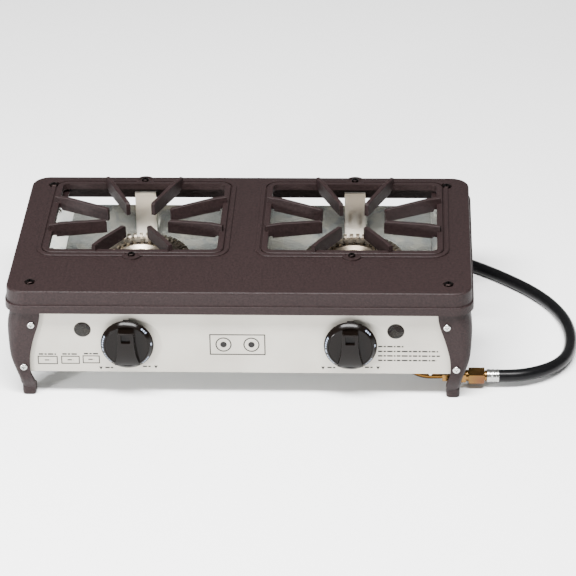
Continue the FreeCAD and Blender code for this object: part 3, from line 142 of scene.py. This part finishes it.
def new_material(name, **values):
    """A material with its shader's plain sockets set, and the object's own coordinates."""
    material = bpy.data.materials.new(name)
    material.use_nodes = True
    tree = material.node_tree
    shader = tree.nodes["Principled BSDF"]
    for key, value in values.items():
        shader.inputs[key.replace("_", " ")].default_value = value
    coords = add_node(tree, "ShaderNodeTexCoord").outputs["Object"]
    return material, tree, shader, coords


def rgb(r, g, b):
    """A colour picked on screen, 0 to 255, as the linear values that shaders take."""
    return tuple(((c / 255 + 0.055) / 1.055) ** 2.4 for c in (r, g, b)) + (1,)


print("charcoal in linear light:", [round(v, 4) for v in rgb(58, 50, 50)])

# %% [markdown]
# ## Effects that several finishes share
# Sand-cast metal, moulded plastic and lacquer all have a fine pebble; sheet metal has long brushed
# lines or crystals. The pebble and the lines are each a node group, built once, with its scale as an
# input, and every material that uses one mixes it in its own strength; the crystals are drawn in the tray's
# own material.

# %% Node groups
def new_group(name, inputs, outputs):
    group = bpy.data.node_groups.new(name, "ShaderNodeTree")
    for label, kind, value in inputs:
        socket = group.interface.new_socket(name=label, in_out="INPUT", socket_type=kind)
        if value is not None:
            socket.default_value = value
    for label in outputs:
        group.interface.new_socket(name=label, in_out="OUTPUT", socket_type="NodeSocketFloat")
    return group, add_node(group, "NodeGroupInput").outputs, add_node(group, "NodeGroupOutput").inputs


VECTOR, FLOAT = "NodeSocketVector", "NodeSocketFloat"
pebble, given, out = new_group("cast_pebble", [("Vector", VECTOR, None), ("Scale", FLOAT, 700.0)],
                               ["Height", "Blotch"])
fine = add_node(pebble, "ShaderNodeTexVoronoi", {"Vector": given["Vector"], "Scale": given["Scale"]},
                feature="SMOOTH_F1")
rough = add_node(pebble, "ShaderNodeTexNoise", {"Vector": given["Vector"], "Scale": 260.0, "Detail": 4.0})
height = add_node(pebble, "ShaderNodeMath", {0: fine.outputs["Distance"], 1: -0.8, 2: rough.outputs["Fac"]},
                  operation="MULTIPLY_ADD")
pebble.links.new(height.outputs[0], out["Height"])
blotch = add_node(pebble, "ShaderNodeTexNoise", {"Vector": given["Vector"], "Scale": 330.0, "Detail": 4.0,
                                                 "Roughness": 0.75})
pebble.links.new(blotch.outputs["Fac"], out["Blotch"])

LENGTHWAYS = (1.5, 600, 600)
brushed, given, out = new_group("brushed_lines", [("Vector", VECTOR, None), ("Along", VECTOR, LENGTHWAYS)],
                                ["Lines", "Haze"])
stretched = add_node(brushed, "ShaderNodeVectorMath", {0: given["Vector"], 1: given["Along"]},
                     operation="MULTIPLY")
lines = add_node(brushed, "ShaderNodeTexNoise", {"Vector": stretched.outputs[0], "Scale": 1.0, "Detail": 3.0})
haze = add_node(brushed, "ShaderNodeTexNoise", {"Vector": given["Vector"], "Scale": 9.0, "Detail": 3.0})
brushed.links.new(lines.outputs["Fac"], out["Lines"])
brushed.links.new(haze.outputs["Fac"], out["Haze"])
print("groups:", [g.name for g in bpy.data.node_groups])

# %% Use a group in a material
def use_group(tree, group, **inputs):
    node = add_node(tree, "ShaderNodeGroup", node_tree=group)
    for key, value in inputs.items():
        if isinstance(value, bpy.types.NodeSocket):
            tree.links.new(value, node.inputs[key])
        else:
            node.inputs[key].default_value = value
    return node.outputs


def bump(tree, shader, height, strength, distance):
    node = add_node(tree, "ShaderNodeBump", {"Height": height, "Strength": strength, "Distance": distance})
    tree.links.new(node.outputs["Normal"], shader.inputs["Normal"])


def two_colours(tree, shader, factor, dark, light, low=0.35, high=0.65):
    ramp = add_node(tree, "ShaderNodeValToRGB", {"Fac": factor})
    ramp.color_ramp.elements[0].position = low
    ramp.color_ramp.elements[1].position = high
    ramp.color_ramp.elements[0].color = dark
    ramp.color_ramp.elements[1].color = light
    tree.links.new(ramp.outputs["Color"], shader.inputs["Base Color"])


def spread(tree, value, low, high):
    """Map a 0 to 1 pattern to the range low to high."""
    node = add_node(tree, "ShaderNodeMapRange", {"Value": value, "From Min": 0.3, "From Max": 0.7,
                                                 "To Min": low, "To Max": high})
    return node.outputs["Result"]

# %% [markdown]
# ## Cast iron with stove paint
# The plate, the grates and the legs are sand castings with a thin brownish black paint. The sand
# leaves a pebble under the paint that scatters the light, which is why the plate looks soft and
# warm rather than black. The bump stands for that pebble; its grains are under a millimetre.

# %% Cast iron
def cast_finish(name, dark, light, roughness, grain=700.0, depth=0.00035, shine=0.5):
    material, tree, shader, coords = new_material(name, Metallic=0.0, Specular_IOR_Level=shine)
    texture = use_group(tree, pebble, Vector=coords, Scale=grain)
    two_colours(tree, shader, texture["Blotch"], dark, light)
    tree.links.new(spread(tree, texture["Blotch"], roughness, roughness + 0.12), shader.inputs["Roughness"])
    bump(tree, shader, texture["Height"], 0.55, depth)
    return material


cast_black = cast_finish("painted_cast_iron", rgb(22, 15, 15), rgb(36, 26, 26), roughness=0.42, grain=900.0,
                         depth=0.0007, shine=0.13)
print("paint:", cast_black.name)

# %% [markdown]
# ## Sheet metal, plated metal and brass
# The panel is brushed lengthways, so its lines are stretched along X. The tray is galvanised: zinc
# freezes in crystals, drawn with cells that differ a little in shade. Screws and nuts are bright
# zinc, and the gas fittings are turned brass.

# %% Metals
def metal_finish(name, dark, light, roughness, along=LENGTHWAYS, depth=0.00003, metallic=1.0):
    material, tree, shader, coords = new_material(name, Metallic=metallic)
    texture = use_group(tree, brushed, Vector=coords, Along=along)
    two_colours(tree, shader, texture["Haze"], dark, light)
    tree.links.new(spread(tree, texture["Lines"], roughness - 0.06, roughness + 0.08),
                   shader.inputs["Roughness"])
    bump(tree, shader, texture["Lines"], 0.3, depth)
    return material


ALL_WAYS = (300, 300, 300)
panel_steel = metal_finish("brushed_panel", rgb(152, 148, 139), rgb(166, 162, 153), roughness=0.42,
                           metallic=0.25)
zinc = metal_finish("bright_zinc", rgb(160, 160, 157), rgb(196, 196, 192), roughness=0.2, along=ALL_WAYS)
black_oxide = metal_finish("blackened_steel", rgb(24, 19, 19), rgb(38, 31, 30), roughness=0.4, along=ALL_WAYS)
brass = metal_finish("turned_brass", rgb(100, 72, 38), rgb(124, 94, 54), roughness=0.24, along=(20, 700, 700))
copper = metal_finish("gas_tube", rgb(72, 47, 20), rgb(100, 72, 36), roughness=0.2, along=(30, 300, 300))
chromate = metal_finish("yellow_chromate", rgb(84, 50, 42), rgb(106, 86, 44), roughness=0.17,
                        along=(60, 60, 60))
spring_steel = metal_finish("spring_steel", rgb(120, 120, 122), rgb(150, 150, 152), roughness=0.3,
                            along=ALL_WAYS)
strap_zinc = metal_finish("strap_zinc", rgb(226, 222, 214), rgb(240, 238, 232), roughness=0.34,
                          along=(260, 260, 40))
burner_metal = metal_finish("pale_burner", rgb(104, 95, 84), rgb(186, 176, 160), roughness=0.36,
                            along=(260, 260, 260), depth=0.0004)


def galvanised_finish():
    material, tree, shader, coords = new_material("galvanised_sheet", Metallic=0.9)
    cells = add_node(tree, "ShaderNodeTexVoronoi", {"Vector": coords, "Scale": 70.0})
    shade = add_node(tree, "ShaderNodeSeparateColor", {"Color": cells.outputs["Color"]})
    two_colours(tree, shader, shade.outputs["Red"], rgb(188, 192, 191), rgb(214, 213, 204), 0, 1)
    tree.links.new(spread(tree, shade.outputs["Green"], 0.08, 0.14), shader.inputs["Roughness"])
    waves = add_node(tree, "ShaderNodeTexNoise", {"Vector": coords, "Scale": 11.0, "Detail": 1.0})
    bump(tree, shader, waves.outputs["Fac"], 0.3, 0.006)
    return material


galvanised = galvanised_finish()
print("metals:", [m.name for m in bpy.data.materials if m.node_tree])

# %% [markdown]
# ## Rubber and plastic
# The hose is smooth extruded rubber with a soft sheen, the knobs are glass-filled phenolic with a
# satin skin, and the hand nut is a coarser black plastic.

# %% Rubber and plastic
rubber = cast_finish("hose_rubber", rgb(5, 5, 6), rgb(10, 10, 11), roughness=0.26, grain=1500.0,
                     depth=0.00003, shine=0.12)
knob_black = cast_finish("knob_black", rgb(7, 4, 2), rgb(11, 7, 5), roughness=0.12, grain=1400.0,
                         depth=0.00001, shine=0.11)
wheel_black = cast_finish("wheel_black", rgb(22, 22, 23), rgb(30, 30, 31), roughness=0.42, grain=900.0,
                          depth=0.0002)
die_cast = cast_finish("die_cast_grey", rgb(120, 122, 124), rgb(138, 140, 142), roughness=0.34, grain=900.0,
                       depth=0.0001)
print("materials:", len(bpy.data.materials))

# %% Give each carried-over piece its finish
FINISHES = {
    "cast_black": cast_black, "panel_steel": panel_steel, "galvanised": galvanised,
    "burner_casting": burner_metal, "zinc": zinc, "brass": brass, "spring_steel": spring_steel,
    "knob_plastic": knob_black, "chromate": chromate, "hose_rubber": rubber,
    "regulator_casting": die_cast, "wheel_plastic": wheel_black,
}


def finish_with(piece, material):
    piece.data.materials.clear()
    piece.data.materials.append(material)


for entry in frame["record"]["subparts"]:
    finish_with(nodes[entry["node"]], FINISHES[entry["material_slot"]])
finish_with(nodes["inlet_tube"], copper)
for name in ("plate_screws", "grate_screws"):
    finish_with(nodes[name], black_oxide)
for name in ("burner_strap_left", "burner_strap_right"):
    finish_with(nodes[name], strap_zinc)
finish_with(hose, rubber)

# %% [markdown]
# ## The knobs
# A stove knob is one moulding: a skirt with a bevelled rim, hollow behind for the valve's neck and
# nut, with a grip bar across its face. The round part is drawn as a turner would cut it: a circle is
# extruded from ring to ring along the knob's outline, each ring scaled to its radius. The bar is a
# block whose levels are widened and lowered towards its foot, so that its sides flare. Both are then
# joined by a Boolean, and another one cuts the pocket at the bar's top.

# %% Modelling helpers
def start_fresh():
    """Nothing selected, so that an operator acts on the next piece alone."""
    if bpy.context.mode != "OBJECT":
        bpy.ops.object.mode_set(mode="OBJECT")
    bpy.ops.object.select_all(action="DESELECT")


def select_where(piece, test, kind="verts"):
    """In edit mode, select the vertices or faces whose middle passes the test, and nothing else."""
    bpy.ops.mesh.select_mode(type="VERT" if kind == "verts" else "FACE")
    bpy.ops.mesh.select_all(action="DESELECT")
    mesh = bmesh.from_edit_mesh(piece.data)
    for part in getattr(mesh, kind):
        if test(part.co if kind == "verts" else part.calc_center_median()):
            part.select_set(True)
    mesh.select_flush_mode()
    bmesh.update_edit_mesh(piece.data)


def turned(outline, centre, steps=96):
    """Turn an outline of (radius, distance forward of the centre) about an axis along Y."""
    start_fresh()
    radius, forward = outline[0]
    x, y, z = centre
    bpy.ops.mesh.primitive_circle_add(vertices=steps, radius=radius, fill_type="NGON",
                                      location=(x, y - forward, z), rotation=(math.pi / 2, 0, 0))
    bpy.ops.object.mode_set(mode="EDIT")
    for next_radius, next_forward in outline[1:]:
        bpy.ops.mesh.extrude_region_move(TRANSFORM_OT_translate={"value": (0, forward - next_forward, 0)})
        k = next_radius / radius
        bpy.ops.transform.resize(value=(k, 1, k), center_override=(x, y - next_forward, z))
        radius, forward = next_radius, next_forward
    bpy.ops.mesh.select_all(action="SELECT")
    bpy.ops.mesh.normals_make_consistent(inside=False)
    bpy.ops.object.mode_set(mode="OBJECT")
    bpy.ops.object.transform_apply(location=True, rotation=True, scale=True)
    return bpy.context.object


def apply_modifier(piece, kind, **settings):
    start_fresh()
    piece.select_set(True)
    bpy.context.view_layer.objects.active = piece
    modifier = piece.modifiers.new(kind.lower(), kind)
    for key, value in settings.items():
        setattr(modifier, key, value)
    bpy.ops.object.modifier_apply(modifier=modifier.name)


def boolean(piece, other, operation):
    apply_modifier(piece, "BOOLEAN", operation=operation, object=other, solver="EXACT")
    bpy.data.objects.remove(other)


def block(x, y, z):
    """Block between pairs of limits, ready to shape."""
    start_fresh()
    middle = [(low + high) / 2 for low, high in (x, y, z)]
    bpy.ops.mesh.primitive_cube_add(size=1, location=middle)
    bpy.ops.transform.resize(value=[high - low for low, high in (x, y, z)])
    bpy.ops.object.transform_apply(location=True, rotation=True, scale=True)
    return bpy.context.object


print("helpers ready")

# %% Knob sizes
KNOB_OUTLINE = [(3.3, 9.3), (3.3, 2.5), (9.0, 2.5), (9.0, 6.5), (27.5, 6.5), (33.5, 2.0), (33.5, 0.0),
                (35.2, 0.0), (35.8, 0.3), (36.0, 0.9), (36.0, 3.0), (35.7, 3.6), (30.9, 8.7), (30.4, 9.0),
                (29.8, 8.9), (29.4, 8.4), (2.0, 8.4)]
KNOB_R = 36.0 * MM
BAR_TOP, BAR_FOOT, BAR_ROOT = 26.0 * MM, -27.5 * MM, 6.5 * MM
BAR_RISE = 20.8 * MM
BAR_LEVELS = [(1.64, 0.36), (1.46, 0.55), (1.3, 0.69), (1.17, 0.79), (1.09, 0.87), (1.04, 0.92), (1.01, 0.96),
              (1.0, 0.99), (0.98, 0.98)]
BAR_HALF_W = 10.8 * MM
BAR_EDGE = 1.3 * MM
POCKET_HALF_W, POCKET_LOW, POCKET_HIGH = 6.3 * MM, 11.0 * MM, 23.6 * MM
POCKET_DEPTH, POCKET_EDGE = 8.0 * MM, 0.8 * MM
NUB_HALF_W, NUB_DEPTH, NUB_LOW, NUB_HIGH, NUB_EDGE = 4.5 * MM, 2.6 * MM, 34.0 * MM, 37.6 * MM, 0.6 * MM
print("knob", 2 * KNOB_R / MM, "mm across, bar", round((BAR_TOP - BAR_FOOT) / MM, 1), "mm long")

# %% Grip bar
def grip_bar(x, y, z):
    bar = block((x - BAR_HALF_W, x + BAR_HALF_W), (y - BAR_RISE, y - BAR_ROOT), (z + BAR_FOOT, z + BAR_TOP))
    bpy.ops.object.mode_set(mode="EDIT")
    cuts = len(BAR_LEVELS) - 2
    bpy.ops.mesh.subdivide(number_cuts=cuts)
    step = (BAR_TOP - BAR_FOOT) / (cuts + 1)
    for i, (wide, high) in enumerate(BAR_LEVELS):
        level = z + BAR_FOOT + i * step
        select_where(bar, lambda p: abs(p.z - level) < step / 4)
        bpy.ops.transform.resize(value=(wide, high, 1), center_override=(x, y - BAR_ROOT, level))
    bpy.ops.object.mode_set(mode="OBJECT")
    apply_modifier(bar, "BEVEL", width=BAR_EDGE, segments=3, limit_method="ANGLE",
                   angle_limit=math.radians(50))
    return bar


# %% Knob
def make_knob(side):
    low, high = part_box("knob_" + side)
    x, y, z = (low.x + high.x) / 2, high.y, low.z + KNOB_R
    knob = turned([(r * MM, f * MM) for r, f in KNOB_OUTLINE], (x, y, z))
    boolean(knob, grip_bar(x, y, z), "UNION")
    nub = block((x - NUB_HALF_W, x + NUB_HALF_W), (y - NUB_DEPTH, y), (z + NUB_LOW, z + NUB_HIGH))
    apply_modifier(nub, "BEVEL", width=NUB_EDGE, segments=2)
    boolean(knob, nub, "UNION")
    pocket = block((x - POCKET_HALF_W, x + POCKET_HALF_W), (low.y - MM, low.y + POCKET_DEPTH),
                   (z + POCKET_LOW, z + POCKET_HIGH))
    apply_modifier(pocket, "BEVEL", width=POCKET_EDGE, segments=2)
    boolean(knob, pocket, "DIFFERENCE")
    start_fresh()
    knob.select_set(True)
    bpy.context.view_layer.objects.active = knob
    bpy.ops.object.shade_smooth_by_angle(angle=math.radians(32))
    knob.name = "moulded_knob_" + side
    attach(knob, "knob_and_stem_" + side)
    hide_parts("knob_" + side)
    finish_with(knob, knob_black)
    return knob


knobs = {side: make_knob(side) for side in ("left", "right")}
print("knob faces:", len(knobs["left"].data.polygons))

# %% [markdown]
# ## Marks on the knobs' rims
# The bevel carries white pad-printed marks. A ring of faces is laid just above the bevel, and only
# the faces at the marks' places are kept: rows of short ticks for the high, low and lighting
# settings, and a plain square between them. Solidify gives the print its skin.

# %% Knob marks
TICK_ROWS = [(38, 56), (82, 88), (120, 142), (222, 250), (256, 264), (268, 296)]
BEVEL_OUT, BEVEL_IN = (34.1, 5.33), (32.5, 7.03)
PRINT_SKIN = 0.08 * MM
white_print = cast_finish("white_print", rgb(110, 122, 142), rgb(140, 150, 168), roughness=0.5, grain=1500.0,
                          depth=0.00002)


def is_marked(clock):
    """Ticks cover four degrees in six inside each row, and a short row is filled."""
    for first, last in TICK_ROWS:
        if first <= clock <= last:
            return last - first < 10 or (clock - first) % 6 < 4
    return False


def make_marks(side):
    low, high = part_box("knob_" + side)
    x, y, z = (low.x + high.x) / 2, high.y, low.z + KNOB_R
    band = turned([(r * MM, f * MM) for r, f in (BEVEL_OUT, BEVEL_IN)], (x, y, z), steps=180)
    bpy.ops.object.mode_set(mode="EDIT")
    clock_of = lambda p: math.degrees(math.atan2(p.x - x, p.z - z)) % 360
    select_where(band, lambda p: not is_marked(clock_of(p)) or (p - Vector((x, p.y, z))).length < KNOB_R / 2,
                 "faces")
    bpy.ops.mesh.delete(type="FACE")
    bpy.ops.object.mode_set(mode="OBJECT")
    apply_modifier(band, "SOLIDIFY", thickness=PRINT_SKIN, offset=1.0)
    band.name = "knob_marks_" + side
    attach(band, "knob_and_stem_" + side)
    finish_with(band, white_print)
    return band


marks = [make_marks(side) for side in ("left", "right")]
print("mark faces:", [len(piece.data.polygons) for piece in marks])

# %% [markdown]
# ## The stem springs
# Behind each knob a coil spring pushes the stem back out. A coil can't ride whole on either of the
# pieces that it sits between, so each one is a mesh of its own, a copy of the measured coil with its
# doubled points merged, carried by the stove's body.


def make_spring(side):
    label = "stem_spring_" + side
    low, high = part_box(label)
    coil = bpy.data.objects.new("coil_spring_" + side, nodes[label].data.copy())
    bpy.context.scene.collection.objects.link(coil)
    start_fresh()
    coil.select_set(True)
    bpy.context.view_layer.objects.active = coil
    bpy.ops.object.mode_set(mode="EDIT")
    bpy.ops.mesh.select_all(action="SELECT")
    bpy.ops.mesh.remove_doubles(threshold=0.01 * MM)
    bpy.ops.object.mode_set(mode="OBJECT")
    bpy.ops.object.shade_smooth_by_angle(angle=math.radians(40))
    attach(coil, "stove")
    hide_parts(label)
    finish_with(coil, spring_steel)
    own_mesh(coil)
    return high.y - low.y


print("spring lengths in mm:", [round(make_spring(side) / MM, 2) for side in ("left", "right")])

# %% [markdown]
# ## The panel's print
# The panel carries thin black print. Only its plain shapes are drawn: three data boxes, small
# triangles beside each knob, rows of dashes where instructions would be, and a plan of the hob, a
# frame with two rings, in the middle. Each is a flat face a tenth of a millimetre proud of the steel.

# %% Print helpers
PRINT_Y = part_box("front_panel")[0].y - 0.1 * MM
FACING_FRONT = (math.pi / 2, 0, 0)


def patch(x0, x1, z0, z1):
    """Flat rectangle on the panel, sizes in millimetres."""
    start_fresh()
    middle = ((x0 + x1) / 2 * MM, PRINT_Y, (z0 + z1) / 2 * MM)
    bpy.ops.mesh.primitive_plane_add(size=1, location=middle, rotation=FACING_FRONT)
    bpy.ops.transform.resize(value=((x1 - x0) * MM, 1, (z1 - z0) * MM))
    bpy.ops.object.transform_apply(location=True, rotation=True, scale=True)
    return bpy.context.object


def printed_frame(x0, x1, z0, z1, line):
    frame_piece = patch(x0, x1, z0, z1)
    bpy.ops.object.mode_set(mode="EDIT")
    bpy.ops.mesh.inset(thickness=line * MM)
    bpy.ops.mesh.delete(type="FACE")
    bpy.ops.object.mode_set(mode="OBJECT")
    return frame_piece


def printed_round(x, z, radius, line=None, corners=40, turn=0.0):
    start_fresh()
    bpy.ops.mesh.primitive_circle_add(vertices=corners, radius=radius * MM, fill_type="NGON",
                                      location=(x * MM, PRINT_Y, z * MM), rotation=(math.pi / 2, turn, 0))
    if line:
        bpy.ops.object.mode_set(mode="EDIT")
        bpy.ops.mesh.inset(thickness=line * MM)
        bpy.ops.mesh.delete(type="FACE")
        bpy.ops.object.mode_set(mode="OBJECT")
    bpy.ops.object.transform_apply(location=True, rotation=True, scale=True)
    return bpy.context.object


def dashes(x0, x1, z, height=2.1, gap=1.6):
    """A row of dashes of uneven length, as rows of small print look from a step away."""
    row = []
    lengths = (6.0, 3.2, 7.4, 2.4, 5.0, 8.2, 3.8)
    while x0 < x1:
        end = min(x0 + lengths[len(row) % len(lengths)], x1)
        row.append(patch(x0, end, z, z + height))
        x0 = end + gap
    return row


print("print lies at y =", round(PRINT_Y / MM, 1), "mm")

# %% Panel print
DATA_BOXES = [(-276, -248.6, 49.5, 62.3), (-243.8, -218.4, 50.2, 62.6), (-214.3, -190.8, 51.2, 63.4)]
POINTERS = [(-189.8, 44.5, 1), (-114.3, 46.7, -1), (113.8, 47.0, 1), (188.6, 47.7, -1)]
TEXT_LEFT, TEXT_ROWS = 188.6, [(79.5, 223.0), (72.0, 270.0), (65.0, 272.5), (58.0, 268.0)]
HOB_PLAN, RING_X, RING_Z = (-40, 36, 66, 98), (-21, 17), 82
printed = []
for x0, x1, z0, z1 in DATA_BOXES:
    printed.append(printed_frame(x0, x1, z0, z1, 1.3))
    printed += dashes(x0 + 2, x1 - 2, z1 + 1.9, 2.0)
    middle_x, middle_z = (x0 + x1) / 2, (z0 + z1) / 2
    printed += dashes(middle_x - 4, middle_x + 4, middle_z - 0.8, 1.6)
for x, z, reach in POINTERS:
    printed.append(printed_round(x, z, 3.0, corners=3, turn=math.pi))
    printed += dashes(*sorted((x + reach * 6, x + reach * 18)), z - 0.8, 2.0)
for z, end in TEXT_ROWS:
    printed += dashes(TEXT_LEFT, end, z)
printed.append(printed_frame(*HOB_PLAN, 1.5))
for x in RING_X:
    printed.append(printed_round(x, RING_Z, 11.0, 1.6))
    printed.append(printed_round(x, RING_Z, 4.5))
start_fresh()
for piece in printed:
    piece.select_set(True)
bpy.context.view_layer.objects.active = printed[0]
bpy.ops.object.join()
panel_print = bpy.context.object
panel_print.name = "panel_print"
apply_modifier(panel_print, "SOLIDIFY", thickness=0.05 * MM, offset=1.0)
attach(panel_print, "stove")
black_print = cast_finish("black_print", rgb(12, 11, 11), rgb(22, 20, 20), roughness=0.5, grain=1500.0,
                          depth=0.00002, shine=0.2)
finish_with(panel_print, black_print)
print("print faces:", len(panel_print.data.polygons))

# %% [markdown]
# ## Floor and light
# A pale seamless floor and large soft lamps, as in a product studio. A box lamp almost overhead, a
# little in front, is the one that shines back from the knobs' bevels. A smaller one in front on the
# left throws the knobs' shadows to the right, and the pale world keeps all shadows open.

# %% Studio
bpy.ops.object.select_all(action="DESELECT")
bpy.ops.mesh.primitive_plane_add(size=14, location=(0, 0, 0))
floor = bpy.context.object
floor.name = "floor"
floor_material, tree, shader, coords = new_material("studio_floor", Roughness=0.8)
shader.inputs["Base Color"].default_value = (0.93, 0.93, 0.93, 1)
finish_with(floor, floor_material)


def soft_lamp(name, place, aim, wide, tall, watts):
    data = bpy.data.lights.new(name, "AREA")
    data.shape = "RECTANGLE"
    data.energy, data.size, data.size_y = watts, wide, tall
    lamp = bpy.data.objects.new(name, data)
    lamp.location = place
    lamp.rotation_euler = (Vector(aim) - Vector(place)).to_track_quat("-Z", "Y").to_euler()
    bpy.context.scene.collection.objects.link(lamp)


soft_lamp("overhead", (-0.1, -1.1, 2.5), (0, 0, 0), 2.6, 0.6, 400)
soft_lamp("left_front", (-1.5, -1.5, 0.42), (0, 0, 0.08), 0.2, 0.2, 66)
world = bpy.data.worlds.new("studio")
world.use_nodes = True
world.node_tree.nodes["Background"].inputs["Color"].default_value = (1, 1, 1, 1)
world.node_tree.nodes["Background"].inputs["Strength"].default_value = 0.35
bpy.context.scene.world = world
